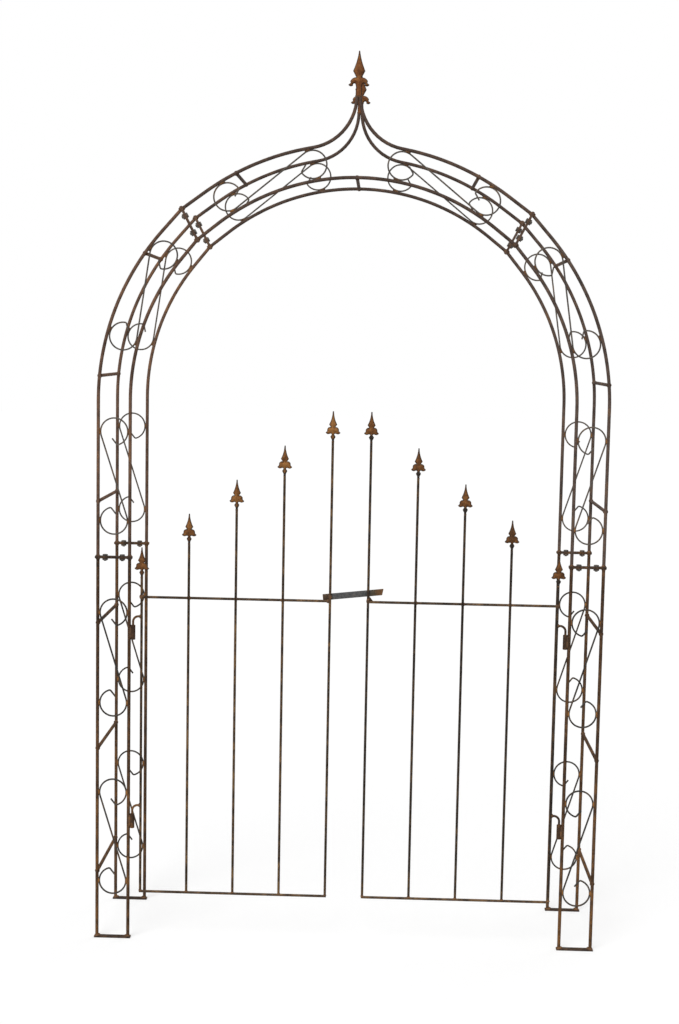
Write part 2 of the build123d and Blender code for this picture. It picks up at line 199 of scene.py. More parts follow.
def rustMaterial(name, look):
    material = bpy.data.materials.new(name)
    material.use_nodes = True
    nodes, links = material.node_tree.nodes, material.node_tree.links
    shader = nodes["Principled BSDF"]
    coords = nodes.new("ShaderNodeTexCoord").outputs["Object"]

    def feed(value, socket):
        if isinstance(value, tuple):
            socket.default_value = (*value, 1.0)
        elif isinstance(value, float):
            socket.default_value = value
        else:
            links.new(value, socket)

    def cloud(scale, detail, rough, warp):
        node = nodes.new("ShaderNodeTexNoise")
        node.inputs["Scale"].default_value = scale
        node.inputs["Detail"].default_value = detail
        node.inputs["Roughness"].default_value = rough
        node.inputs["Distortion"].default_value = warp
        links.new(coords, node.inputs["Vector"])
        return node.outputs["Fac"]

    def ramp(source, stops):
        node = nodes.new("ShaderNodeValToRGB")
        points = node.color_ramp.elements
        while len(points) < len(stops):
            points.new(0.5)
        for point, (place, shade) in zip(points, stops):
            point.position = place
            point.color = (*shade, 1.0) if isinstance(shade, tuple) else (shade, shade, shade, 1.0)
        links.new(source, node.inputs["Fac"])
        return node.outputs["Color"]

    def mix(mask, under, over, blend="MIX"):
        node = nodes.new("ShaderNodeMix")
        node.data_type = "RGBA"
        node.blend_type = blend
        feed(mask, node.inputs["Factor"])
        feed(under, node.inputs["A"])
        feed(over, node.inputs["B"])
        return node.outputs["Result"]

    def added(source, times, other):
        node = nodes.new("ShaderNodeMath")
        node.operation = "MULTIPLY_ADD"
        links.new(source, node.inputs[0])
        node.inputs[1].default_value = times
        feed(other, node.inputs[2])
        return node.outputs["Value"]

    def band(source, start, full, smooth=True):
        node = nodes.new("ShaderNodeMapRange")
        node.interpolation_type = "SMOOTHSTEP" if smooth else "LINEAR"
        node.inputs["From Min"].default_value = start
        node.inputs["From Max"].default_value = full
        links.new(source, node.inputs["Value"])
        return node.outputs["Result"]

    def attribute(key):
        node = nodes.new("ShaderNodeAttribute")
        node.attribute_name = key
        return node.outputs["Fac"]

    split = nodes.new("ShaderNodeSeparateXYZ")
    links.new(coords, split.inputs["Vector"])
    noises = {key: cloud(look[key], *settings) for key, settings in clouds.items()}
    patch, grain, spots = noises["patch"], noises["grain"], noises["spots"]
    level = added(noises["drift"], look["swing"], patch)
    if "edge" in look:
        level = added(attribute("tint"), 1.0, level)
    lowness = band(split.outputs["Z"], look["dampTop"], look["dampFull"])  # rustier towards the ground
    level = added(lowness, look["damp"], level)
    middle = 0.5 + 0.5 * look["swing"]  # mean of the two noises
    spread = band(level, middle - look["spread"], middle + look["spread"], False)
    colour = ramp(spread, list(zip(rust["stops"], look["shades"])))
    colour = mix(look["speckle"], colour, ramp(grain, rust["speckle"]), "MULTIPLY")
    flecks = added(band(spots, *rust["fleck"]), look["fleck"], 0.0)  # small bright flecks and dark pits
    pits = added(band(spots, *rust["pit"]), look["pit"], 0.0)
    colour = mix(flecks, colour, look["shades"][-1])
    colour = mix(pits, colour, tuple(rust["pitShade"] * part for part in look["shades"][0]))
    if "edge" in look:  # thin edges stay dark: painted shade along the rounded rim of each casting, and on the knob its own dark tone
        rim = added(patch, -look["edgeWide"], attribute("rim"))
        colour = mix(band(rim, -0.5 * look["edgeWide"], 0.5 * look["edgeWide"]), look["edge"], colour)
    for stain in look.get("stains", ()):  # a finish that changes along x
        wander = added(patch, stain["wander"], split.outputs["X"])
        mask = band(wander, stain["start"] + stain["wander"] / 2, stain["full"] + stain["wander"] / 2)
        tones = zip(rust["stainStops"], (stain["dark"], stain["pale"]))
        colour = mix(mask, colour, ramp(grain, list(tones)))
    links.new(colour, shader.inputs["Base Color"])
    roughness = zip(rust["roughStops"], (look["rough"], look["rough"] - rust["roughDrop"]))
    links.new(ramp(patch, list(roughness)), shader.inputs["Roughness"])
    shader.inputs["Metallic"].default_value = look["metal"]
    shader.inputs["Specular IOR Level"].default_value = look["gloss"]
    normal = None
    for key, depth in rust["bumps"]:
        bump = nodes.new("ShaderNodeBump")
        bump.inputs["Strength"].default_value = look["bump"]
        bump.inputs["Distance"].default_value = depth
        links.new(noises[key], bump.inputs["Height"])
        if normal:
            links.new(normal, bump.inputs["Normal"])
        normal = bump.outputs["Normal"]
    links.new(normal, shader.inputs["Normal"])
    return material


# the four shades of a finish run from scale to bloom
railLook = {"shades": ((0.042, 0.029, 0.021), (0.072, 0.04, 0.023), (0.102, 0.057, 0.031),
                       (0.2, 0.095, 0.036)),
            "patch": 36.0, "drift": 5.0, "spots": 230.0, "grain": 420.0,  # scales of the noises
            "swing": 0.5, "spread": 0.34, "speckle": 0.45, "fleck": 0.45, "pit": 0.5, "bump": 0.5,
            "rough": 0.95, "metal": 0.0, "gloss": 0.08, "damp": 0.09, "dampTop": 0.75, "dampFull": 0.05}
quarterLook = dict(railLook, speckle=0.35, bump=0.35, shades=(
    (0.076, 0.051, 0.039), (0.126, 0.074, 0.051), (0.16, 0.095, 0.065), (0.235, 0.122, 0.065)))
rightQuarterLook = dict(quarterLook, shades=(
    (0.056, 0.045, 0.04), (0.094, 0.066, 0.053), (0.12, 0.085, 0.068), (0.175, 0.105, 0.066)))
crownLook = dict(quarterLook, shades=(
    (0.056, 0.041, 0.034), (0.085, 0.058, 0.046), (0.108, 0.072, 0.056), (0.165, 0.094, 0.055)))
plateLook = dict(railLook, patch=60.0, damp=-0.08, shades=(
    (0.036, 0.027, 0.022), (0.064, 0.043, 0.031), (0.095, 0.059, 0.039), (0.18, 0.088, 0.036)))
slantedPlateLook = dict(quarterLook, patch=60.0, shades=(
    (0.07, 0.048, 0.037), (0.115, 0.072, 0.052), (0.15, 0.092, 0.064), (0.21, 0.115, 0.062)))
leafLook = dict(railLook, patch=42.0, spread=0.28, damp=0.02, shades=(
    (0.028, 0.021, 0.016), (0.052, 0.035, 0.022), (0.088, 0.055, 0.033), (0.2, 0.115, 0.05)))
rightLeafLook = dict(leafLook, shades=(
    (0.024, 0.019, 0.0155), (0.037, 0.028, 0.0215), (0.053, 0.038, 0.028), (0.118, 0.07, 0.034)))
leafRailLook = dict(leafLook, shades=(
    (0.036, 0.027, 0.021), (0.065, 0.044, 0.029), (0.106, 0.068, 0.043), (0.22, 0.128, 0.06)))
wireLook = dict(railLook, speckle=0.35, fleck=0.25, rough=0.8, gloss=0.15, damp=0.04, shades=(
    (0.028, 0.026, 0.022), (0.044, 0.04, 0.034), (0.062, 0.053, 0.044), (0.12, 0.07, 0.037)))
archWireLook = dict(wireLook, shades=(
    (0.06, 0.053, 0.047), (0.095, 0.083, 0.072), (0.13, 0.11, 0.092), (0.17, 0.115, 0.075)))
# the edge colour is painted shade along a casting's rounded rim and also the knob's own dark tone; the width
# says how far in that band runs
spearLook = dict(railLook, patch=90.0, drift=28.0, bump=0.6, edge=(0.032, 0.025, 0.02), edgeWide=0.0034,
                 shades=((0.096, 0.047, 0.022), (0.16, 0.067, 0.0245), (0.213, 0.09, 0.031),
                         (0.33, 0.15, 0.047)))
finialLook = dict(spearLook, patch=70.0, edgeWide=0.0036, shades=(
    (0.108, 0.049, 0.024), (0.175, 0.067, 0.026), (0.215, 0.083, 0.031), (0.33, 0.145, 0.046)))
hingeLook = dict(railLook, patch=60.0, shades=(
    (0.028, 0.02, 0.016), (0.055, 0.033, 0.022), (0.08, 0.046, 0.028), (0.18, 0.085, 0.032)))
leftHookLook = dict(hingeLook, shades=(
    (0.06, 0.036, 0.02), (0.115, 0.058, 0.027), (0.165, 0.083, 0.036), (0.27, 0.135, 0.05)))
weldLook = dict(railLook, patch=120.0, bump=0.6, speckle=0.35, shades=(
    (0.056, 0.037, 0.026), (0.104, 0.061, 0.038), (0.148, 0.082, 0.046), (0.23, 0.115, 0.048)))
scrollWeldLook = dict(weldLook, damp=0.2, dampTop=1.7, dampFull=0.3, shades=(
    (0.07, 0.043, 0.028), (0.11, 0.06, 0.033), (0.16, 0.08, 0.036), (0.3, 0.14, 0.045)))
boltLook = dict(railLook, patch=130.0, fleck=0.25, rough=0.75, metal=0.2, gloss=0.25, shades=(
    (0.054, 0.049, 0.044), (0.094, 0.083, 0.072), (0.13, 0.113, 0.097), (0.18, 0.115, 0.072)))
latchLook = dict(railLook, patch=90.0, fleck=0.3, rough=0.75, metal=0.25, gloss=0.2, shades=(
    (0.046, 0.046, 0.047), (0.078, 0.079, 0.08), (0.104, 0.104, 0.104), (0.14, 0.126, 0.112)))
latchLook["stains"] = (  # the bar's brown ends, in metres along x
    {"start": -0.044, "full": -0.056, "wander": 0.016,
     "dark": (0.04, 0.028, 0.019), "pale": (0.11, 0.066, 0.037)},
    {"start": 0.044, "full": 0.062, "wander": 0.02,
     "dark": (0.05, 0.04, 0.027), "pale": (0.1, 0.075, 0.045)},
    {"start": 0.062, "full": 0.076, "wander": 0.016,
     "dark": (0.08, 0.042, 0.02), "pale": (0.2, 0.098, 0.038)})
finishRows = (
    ("rail", "railRust", railLook, "arch_rail"),
    ("left_quarter", "leftQuarterRust", quarterLook, "arch_rail"),
    ("right_quarter", "rightQuarterRust", rightQuarterLook, "arch_rail"),
    ("crown", "crownRust", crownLook, "arch_rail"),
    ("plate", "plateRust", plateLook, "joint_plate"),
    ("slanted_plate", "slantedPlateRust", slantedPlateLook, "joint_plate"),
    ("left_leaf", "leftLeafRust", leafLook, "leaf_bar"),
    ("right_leaf", "rightLeafRust", rightLeafLook, "leaf_bar"),
    ("leaf_rail", "leafRailRust", leafRailLook, "leaf_bar"),
    ("wire", "wireSteel", wireLook, "wire"),
    ("arch_wire", "archWireSteel", archWireLook, "wire"),
    ("spear", "spearRust", spearLook, "spear_casting"),
    ("finial", "finialRust", finialLook, "spear_casting"),
    ("hinge", "hingeRust", hingeLook, "hinge_steel"),
    ("left_hook", "leftHookRust", leftHookLook, "hinge_steel"),
    ("arch_weld", "archWeldRust", weldLook, "arch_rail"),
    ("scroll_weld", "scrollWeldRust", scrollWeldLook, "wire"),
    ("leaf_weld", "leafWeldRust", weldLook, "leaf_bar"),
    ("bolt", "boltSteel", boltLook, "joint_plate"),
    ("latch", "latchSteel", latchLook, "latch_steel"))
finishes = {finish: (rustMaterial(name, look), slot) for finish, name, look, slot in finishRows}
railCrust = (0.0002, 0.0004)  # depth of pits, thickness of rust scale
print("materials made:", len(finishes))

# rails of the posts, quarter arches and crown
outerCorner = onArch(outerRail / math.cos(math.radians(arch["kink"])), arch["outerJoint"])
innerCorner = onArch(innerRail / math.cos(math.radians(arch["kink"])), arch["innerJoint"])
jointRun = outerCorner - innerCorner
jointHeading = math.degrees(math.atan2(jointRun.z, jointRun.x))
arcs = ((outerRail, arch["outerJoint"], outerCorner), (innerRail, arch["innerJoint"], innerCorner))
ogeePlace = stock["rail"] + arch["meetingGap"] / 2 + arch["ogee"]
ogeeAngle = math.degrees(math.acos(ogeePlace / (outerRail + arch["ogee"])))


def plateReach(heading):  # how far a rail would run inside the thickness of a joint plate
    return plate["thick"] / math.cos(math.radians(heading - 90 - jointHeading))


def postRails(bm):
    height = lowerJoint - plate["thick"] - baseTop
    for y in faces:
        for x in (innerRail, outerRail):
            drawBar(bm, Vector((x, y, baseTop)), 90, [(height, 0)], stock["rail"])


def quarterRails(bm):
    low = lowerJoint + plate["thick"]
    for y in faces:
        for radius, joint, _ in arcs:
            bend = joint - arch["kink"]
            last = radius * math.tan(math.radians(arch["kink"])) - plateReach(90 + bend)
            moves = [(arch["spring"] - low, 0), (radius, bend), (last, 0)]
            drawBar(bm, Vector((radius, y, low)), 90, moves, stock["rail"])


def crownStart(radius, joint, corner, y):
    heading = 90 + joint + arch["kink"]
    reach = plateReach(heading)
    start = corner + headingVector(heading) * reach + Vector((0, y, 0))
    return start, heading, radius * math.tan(math.radians(arch["kink"])) - reach


def crownOuterRails(bm):
    radius, joint, corner = arcs[0]
    for y in faces:
        start, heading, first = crownStart(radius, joint, corner, y)
        bends = [(radius, ogeeAngle - joint - arch["kink"]), (arch["ogee"], -ogeeAngle)]
        drawBar(bm, start, heading, [(first, 0)] + bends, stock["rail"])
    mirrorX(bm)


def crownInnerRails(bm):
    radius, joint, corner = arcs[1]
    for y in faces:
        start, heading, first = crownStart(radius, joint, corner, y)
        moves = [(first, 0), (radius, 180 - 2 * (joint + arch["kink"])), (first, 0)]
        drawBar(bm, start, heading, moves, stock["rail"])


for side, mirrored in sides:
    rows = ((postRails, "post_rails", "rail"), (quarterRails, "quarter_rails", f"{side}_quarter"))
    for build, node, finish in rows:
        makePiece(f"{side}_{node}_bars", "arch", finish, build, [f"{side}_{node}"], mirrored, railCrust)
for build, node in ((crownOuterRails, "crown_outer_rails"), (crownInnerRails, "crown_inner_rails")):
    makePiece(f"{node}_bars", "arch", "crown", build, [node], False, railCrust)
print("arch rails drawn")

# rungs from the front frame to the back one
rung = {"postShares": (0.176, 0.5015, 0.83), "quarterShare": 0.356, "quarterAngles": (5.4, 34.9),
        "crownAngle": 62.1}
quarterRise = arch["spring"] - lowerJoint
postRungs = [Vector((outerRail, 0, share * lowerJoint)) for share in rung["postShares"]]
quarterRungs = [Vector((outerRail, 0, lowerJoint + rung["quarterShare"] * quarterRise))]
quarterRungs += [onArch(outerRail, angle) for angle in rung["quarterAngles"]]
crownRungs = [onArch(outerRail, rung["crownAngle"]), onArch(outerRail, 180 - rung["crownAngle"])]
crownRungs.append(onArch(innerRail, 90))


def drawRungs(bm, spots):
    for spot in spots:
        place = shifted(spot.x, stock["rail"] - face, spot.z) @ Matrix.Rotation(math.radians(90), 4, "Z")
        drawBar(bm, Vector(), 0, [(2 * (face - stock["rail"]), 0)], stock["rung"], place=place)


for side, mirrored in sides:
    rows = ((postRungs, "post_rungs", "rail"), (quarterRungs, "quarter_rungs", f"{side}_quarter"))
    for spots, node, finish in rows:
        makePiece(f"{side}_{node}_bars", "arch", finish, lambda bm: drawRungs(bm, spots),
                  [f"{side}_{node}"], mirrored, railCrust)
makePiece("crown_rungs_bars", "arch", "crown", lambda bm: drawRungs(bm, crownRungs), ["crown_rungs"],
          False, railCrust)
print("rungs drawn")

# wire scrolls in the panels, each a place and a pitch between its loops
scroll = {"postPitch": 0.238, "archPitch": 0.229, "loopEnd": 71, "hookTurn": 71, "hookRadius": 0.005,
          "hookLength": 0.018, "postShares": (0.2695, 0.74), "quarterShare": 0.517, "quarterAngle": 26.3,
          "crownAngle": 68.6, "rim": 10, "postCrust": (0.0001, 0.00025), "archCrust": (0.0001, 0.0001)}
loopRadius = panelWidth / 2 - stock["rail"] - stock["wire"]


def uprightScroll(height, pitch):
    return shifted(panelMiddle, 0, height), pitch


def archScroll(angle):
    middle = math.sqrt(panelMiddle ** 2 - (scroll["archPitch"] / 2) ** 2)
    return Matrix.Translation(onArch(middle, angle)) @ turned(angle), scroll["archPitch"]


def drawScrolls(bm, rows):
    for place, pitch in rows:
        slant = math.degrees(math.asin(2 * loopRadius / pitch))
        straight = math.sqrt((pitch / 2) ** 2 - loopRadius ** 2)
        half = [(straight, 0), (loopRadius, slant + 180 + scroll["loopEnd"]),
                (scroll["hookRadius"], scroll["hookTurn"]), (scroll["hookLength"], 0)]
        end, heading = walk(Vector(), 90 - slant, half)
        whole = [(distance, -bend) for distance, bend in reversed(half)] + half
        for y in faces:
            spot = shifted(0, y, 0) @ place
            drawBar(bm, -end, heading, whole, stock["wire"], scroll["rim"], place=spot)


postScrolls = [uprightScroll(share * lowerJoint, scroll["postPitch"]) for share in scroll["postShares"]]
quarterScrolls = [uprightScroll(lowerJoint + scroll["quarterShare"] * quarterRise, scroll["archPitch"]),
                  archScroll(scroll["quarterAngle"])]
crownScrolls = [archScroll(scroll["crownAngle"])]


def crownScrollWire(bm):
    drawScrolls(bm, crownScrolls)
    mirrorX(bm)


scrollRows = ((postScrolls, "post_scrolls", "wire", scroll["postCrust"]),
              (quarterScrolls, "quarter_scrolls", "arch_wire", scroll["archCrust"]))
for side, mirrored in sides:
    for places, node, finish, crust in scrollRows:
        makePiece(f"{side}_{node}_wire", "arch", finish, lambda bm: drawScrolls(bm, places),
                  [f"{side}_{node}"], mirrored, crust)
makePiece("crown_scrolls_wire", "arch", "arch_wire", crownScrollWire, ["crown_scrolls"], False,
          scroll["archCrust"])
print("scrolls drawn")


# base bars and joint plates: flat bars with their long side along x, sitting on their local z = 0
def drawPlates(bm, length, thick, place):
    for y in faces:
        size = Matrix.Diagonal((length, plate["wide"], thick, 1))
        block = shifted(0, y, 0) @ place @ shifted(0, 0, thick / 2) @ size
        cube = bmesh.ops.create_cube(bm, size=1, matrix=block)["verts"]
        bevelEdges(bm, edgesOf(cube), plate["edge"])


levelLength = panelWidth + plate["beyond"]
slantedLength = jointRun.length + plate["beyond"]
slantedJoint = Matrix.Translation((outerCorner + innerCorner) / 2) @ turned(jointHeading)
postFoot = shifted(panelMiddle, 0, 0)
postTop = shifted(panelMiddle, 0, lowerJoint - plate["thick"])
quarterFoot = shifted(panelMiddle, 0, lowerJoint)
slantedUnder = slantedJoint @ shifted(0, 0, -plate["thick"])
plateRows = (("post_base_bars", "plate", levelLength, baseTop, postFoot),
             ("post_top_plates", "plate", levelLength, plate["thick"], postTop),
             ("quarter_lower_plates", "plate", levelLength, plate["thick"], quarterFoot),
             ("quarter_upper_plates", "slanted_plate", slantedLength, plate["thick"], slantedUnder))


def crownPlates(bm):
    drawPlates(bm, slantedLength, plate["thick"], slantedJoint)
    mirrorX(bm)


for side, mirrored in sides:
    for node, finish, length, thick, place in plateRows:
        makePiece(f"{side}_{node}_steel", "arch", finish, lambda bm: drawPlates(bm, length, thick, place),
                  [f"{side}_{node}"], mirrored)
makePiece("crown_plates_steel", "arch", "slanted_plate", crownPlates, ["crown_plates"])
print("plates made")

# bolts through the joint plates, local z along the bolt, the two plates meet at z = 0
bolt = {"across": 0.0125, "head": 0.0044, "nut": 0.0048, "shank": 0.0036, "end": 0.002, "chamfer": 0.0009,
        "nutTurn": 0.4, "sides": 6, "rim": 16, "shares": (0.23, 0.77)}


def drawRound(bm, radius, low, high, place, rim, chamfer):
    middle = place @ shifted(0, 0, (low + high) / 2)
    made = bmesh.ops.create_cone(bm, cap_ends=True, segments=rim, radius1=radius, radius2=radius,
                                 depth=high - low, matrix=middle)["verts"]
    rims = [edge for edge in edgesOf(made) if max(len(part.verts) for part in edge.link_faces) == rim]
    bevelEdges(bm, rims, chamfer)


def drawBolt(bm, place):
    corner = bolt["across"] / math.sqrt(3)
    low, high = -plate["thick"], plate["thick"]
    nutEnd = low - bolt["nut"]
    nutPlace = place @ Matrix.Rotation(bolt["nutTurn"], 4, "Z")
    drawRound(bm, corner, high, high + bolt["head"], place, bolt["sides"], bolt["chamfer"])
    drawRound(bm, corner, nutEnd, low, nutPlace, bolt["sides"], bolt["chamfer"])
    drawRound(bm, bolt["shank"], nutEnd - bolt["end"], low, place, bolt["rim"], bolt["chamfer"] / 2)


def jointBolts(bm):
    for y in faces:
        for share in bolt["shares"]:
            spot = outerCorner - jointRun * share + Vector((0, y, 0))
            drawBolt(bm, shifted(outerRail - share * panelWidth, y, lowerJoint))
            drawBolt(bm, Matrix.Translation(spot) @ turned(jointHeading))


for side, mirrored in sides:
    makePiece(f"{side}_joint_bolts", "arch", "bolt", jointBolts, (), mirrored)
print("bolts made")

# gate leaves, drawn for the right-hand one
leafLow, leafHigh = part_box("right_leaf_bars")
leaf = {"hingeStile": leafHigh[0] - stock["leafBar"], "meetingStile": leafLow[0] + stock["leafBar"],
        "bottom": sum(corner[2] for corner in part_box("right_leaf_bottom_rail")) / 2,
        "upper": sum(corner[2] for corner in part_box("right_leaf_upper_rail")) / 2,
        "bars": 5, "highTip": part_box("right_leaf_spearheads")[1][2], "tipStep": 0.09,
        "crust": (0.00012, 0.00035), "rim": 14}
# castings: half the thickness at the edge, what the ridge adds, and how far in the two of them run
spear = {"height": 0.078, "span": 0.038, "edge": 0.0019, "ridge": 0.003, "round": 0.0014, "reach": 0.0075,
         "bevel": 0.0005, "cell": 0.0022, "foot": 0.003, "knobTop": 0.25, "knobRim": 0.5,
         "crust": (0.0002, 0.0001), "sharp": 32}
finialLow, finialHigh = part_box("front_finial")
finial = {"height": finialHigh[2] - finialLow[2], "span": finialHigh[0] - finialLow[0], "edge": 0.0032,
          "ridge": 0.0056, "round": 0.0022, "reach": 0.0125, "bevel": 0.0008, "cell": 0.003, "foot": 0.008,
          "knobTop": 0.0, "knobRim": 1.0, "crust": (0.0003, 0.0001), "sharp": 32}
barSpots = []  # x and the height of the spear tip, from the hinge stile to the meeting stile
for index in range(leaf["bars"]):
    share = index / (leaf["bars"] - 1)
    x = leaf["hingeStile"] + (leaf["meetingStile"] - leaf["hingeStile"]) * share
    barSpots.append((x, leaf["highTip"] - leaf["tipStep"] * (leaf["bars"] - 1 - index)))


def leafBars(bm):
    low = leaf["bottom"] + stock["leafBar"]
    for x, tip in barSpots:
        rise = tip - spear["height"] - low
        drawBar(bm, Vector((x, -face, low)), 90, [(rise, 0)], stock["leafBar"], leaf["rim"])


def leafBottomRail(bm):
    start = leaf["meetingStile"] - stock["leafBar"]
    length = leaf["hingeStile"] + stock["leafBar"] - start
    drawBar(bm, Vector((start, -face, leaf["bottom"])), 0, [(length, 0)], stock["leafBar"], leaf["rim"])


def leafUpperRail(bm):
    for (outside, _), (inside, _) in zip(barSpots, barSpots[1:]):
        start = Vector((inside + stock["leafBar"], -face, leaf["upper"]))
        drawBar(bm, start, 0, [(outside - inside - 2 * stock["leafBar"], 0)], stock["leafBar"], leaf["rim"])


# hinges: hooks of the leaves drop into sockets of the posts
socketLow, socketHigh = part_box("right_hinge_sockets")
hinge = {"x": (socketLow[0] + socketHigh[0]) / 2, "outside": 0.006, "bore": 0.00308, "length": 0.038,
         "floor": 0.004, "rise": 0.023, "bend": 0.014, "arm": 0.005, "endGap": 0.0002, "lip": 0.0006,
         "stride": 0.004, "crust": (0.00004, 0.0)}
socketFeet = (socketLow[2], socketHigh[2] - hinge["length"])


def hingeSockets(bm):
    outside, bore, top, lip = hinge["outside"], hinge["bore"], hinge["length"], hinge["lip"]
    profile = [(0, 0), (outside - lip, 0), (outside, lip), (outside, top - lip), (outside - lip, top),
               (bore + lip / 2, top), (bore, top - lip / 2), (bore, hinge["floor"]), (0, hinge["floor"])]
    for foot in socketFeet:
        drawLathe(bm, profile, shifted(hinge["x"], -face, foot))


def hingeHooks(bm):
    for foot in socketFeet:
        pinFoot = foot + hinge["floor"] + hinge["endGap"]
        rise = foot + hinge["length"] + hinge["rise"] - hinge["bend"] - pinFoot
        moves = [(rise, 0), (hinge["bend"], 90), (hinge["arm"], 0)]
        drawBar(bm, Vector((hinge["x"], -face, pinFoot)), 90, moves, stock["hook"], stride=hinge["stride"])


for side, mirrored in sides:
    body = f"{side}_leaf"
    hookFinish = "left_hook" if side == "left" else "hinge"
    rows = ((leafBars, "bars", body, leaf["crust"]),
            (leafBottomRail, "bottom_rail", "leaf_rail", leaf["crust"]),
            (leafUpperRail, "upper_rail", "leaf_rail", leaf["crust"]),
            (hingeHooks, "hinge_hooks", hookFinish, hinge["crust"]))
    for build, node, finish, crust in rows:
        makePiece(f"{body}_{node}_steel", body, finish, build, [f"{body}_{node}"], mirrored, crust)
    makePiece(f"{side}_hinge_sockets_steel", "arch", "hinge", hingeSockets, [f"{side}_hinge_sockets"],
              mirrored)
print("leaves made")

# spearheads and finials are an outline swelled from its edges to a ridge
# share of half the span, share of the height; a pair of points is the middle and end of an arc
spearOutline = ((0.08, 1.0), ((0.2, 0.78), (0.54, 0.565)), (0.31, 0.485), ((0.58, 0.472), (0.77, 0.42)),
                (0.79, 0.35), (1.0, 0.3), ((0.76, 0.252), (0.48, 0.256)), ((0.34, 0.266), (0.2, 0.262)),
                (0.17, 0.235), (0.35, 0.165), (0.16, 0.075))
finialOutline = ((0.05, 1.0), ((0.24, 0.775), (0.58, 0.551)), (0.26, 0.41), ((0.64, 0.382), (0.83, 0.327)),
                 (0.79, 0.286), (1.0, 0.247), ((0.78, 0.209), (0.56, 0.23)), ((0.46, 0.275), (0.32, 0.242)),
                 (0.27, 0.2), (0.3, 0.1))
spearTint = {"left": (-0.02, 0.18), "right": (-0.08, 0.0)}  # hinge to meeting stile, more is more orange
darkKnob = {"left": 0.1, "right": 0.22}  # share of the height that is as dark as the bars


def circleCentre(a, b, c):  # of the circle through three points
    turn = 2 * (a.x * (b.z - c.z) + b.x * (c.z - a.z) + c.x * (a.z - b.z))
    squares = [point.x ** 2 + point.z ** 2 for point in (a, b, c)]
    x = (squares[0] * (b.z - c.z) + squares[1] * (c.z - a.z) + squares[2] * (a.z - b.z)) / turn
    z = (squares[0] * (c.x - b.x) + squares[1] * (a.x - c.x) + squares[2] * (b.x - a.x)) / turn
    return Vector((x, 0, z))


def lineTo(bm, vert, point):
    made = bmesh.ops.extrude_vert_indiv(bm, verts=[vert])["verts"]
    made[0].co = point
    return made[0]


def arcTo(bm, vert, middle, end, steps=8):
    centre = circleCentre(vert.co, middle, end)
    angles = [math.atan2(point.z - centre.z, point.x - centre.x) for point in (vert.co, middle, end)]
    first, half, last = angles
    sweep = (last - first) % math.tau
    if (half - first) % math.tau > sweep:
        sweep -= math.tau
    made = bmesh.ops.spin(bm, geom=[vert], cent=centre, axis=(0, -1, 0), angle=sweep, steps=steps,
                          use_duplicate=False)
    return [part for part in made["geom_last"] if isVert(part)][0]


def toLine(point, start, run):  # distance from a point to a stretch of the rim
    share = max(0, min(1, (point - start).dot(run) / run.length_squared))
    return (point - start - run * share).length


def spearMesh(name, outline, size):
    bm = bmesh.new()
    rimLayer = bm.verts.layers.float.new("rim")

    def spot(shares):
        return Vector((shares[0] * size["span"] / 2, 0, shares[1] * size["height"]))

    vert = bm.verts.new((0, 0, size["height"]))
    for step in outline:
        if isinstance(step[0], tuple):
            vert = arcTo(bm, vert, spot(step[0]), spot(step[1]))
        else:
            vert = lineTo(bm, vert, spot(step))
    for x in (size["foot"], 0):
        vert = lineTo(bm, vert, Vector((x, 0, 0)))
    bmesh.ops.mirror(bm, geom=bm.verts[:] + bm.edges[:], axis="X", merge_dist=mergeGap)
    bmesh.ops.remove_doubles(bm, verts=bm.verts, dist=mergeGap)
    bmesh.ops.triangle_fill(bm, edges=bm.edges, use_beauty=True)
    bmesh.ops.recalc_face_normals(bm, faces=bm.faces)
    bmesh.ops.inset_region(bm, faces=bm.faces, thickness=size["bevel"], use_boundary=True,
                           use_even_offset=True)
    # a grid of cuts gives the casting points that can swell
    for normal, reach in (((1, 0, 0), size["span"] / 2), ((0, 0, 1), size["height"])):
        count = round(reach / size["cell"])
        for index in range(1 - count, count):
            bmesh.ops.bisect_plane(bm, geom=allOf(bm), dist=cutGap, plane_no=normal,
                                   plane_co=Vector(normal) * index * size["cell"])
    rim = [edge for edge in bm.edges if edge.is_boundary and max(vert.co.z for vert in edge.verts) > cutGap]
    lines = [(edge.verts[0].co.copy(), edge.verts[1].co - edge.verts[0].co) for edge in rim]
    onRim = {vert for edge in rim for vert in edge.verts}
    bridges = [edge for edge in bm.edges if not edge.is_boundary and onRim.issuperset(edge.verts)]
    bmesh.ops.subdivide_edges(bm, edges=bridges, cuts=1)  # so that every inner edge can swell
    bmesh.ops.poke(bm, faces=[part for part in bm.faces if len(part.verts) > 3])
    for vert in bm.verts:
        if vert in onRim:
            continue
        inside = min(toLine(vert.co, start, run) for start, run in lines)
        lip = 1 - min(1, inside / size["round"])
        swell = min(1, inside / size["reach"])
        onKnob = vert.co.z < size["knobTop"] * size["height"]
        # the distance from the rim drives the painted shade along the rim; on a spear's knob it counts half,
        # so the dark band there is wider
        vert[rimLayer] = inside * (size["knobRim"] if onKnob else 1)
        vert.co.y = -size["edge"] * math.sqrt(1 - lip * lip) - size["ridge"] * swell
    bmesh.ops.mirror(bm, geom=allOf(bm), axis="Y", merge_dist=mergeGap)
    bmesh.ops.remove_doubles(bm, verts=bm.verts, dist=mergeGap)
    bmesh.ops.holes_fill(bm, edges=[edge for edge in bm.edges if edge.is_boundary], sides=0)
    mesh = bpy.data.meshes.new(name)
    bm.to_mesh(mesh)
    bm.free()
    return mesh


def stamp(bm, mesh, point, tint, darkBelow=0.0):
    before = len(bm.verts)
    bm.from_mesh(mesh)
    tintLayer = bm.verts.layers.float.get("tint") or bm.verts.layers.float.new("tint")
    rimLayer = bm.verts.layers.float["rim"]
    bm.verts.ensure_lookup_table()
    for vert in bm.verts[before:]:
        vert[tintLayer] = tint
        if vert.co.z < darkBelow:
            vert[rimLayer] = 0.0
    bmesh.ops.translate(bm, vec=point, verts=bm.verts[before:])


spearForm = spearMesh("spear_form", spearOutline, spear)
finialForm = spearMesh("finial_form", finialOutline, finial)


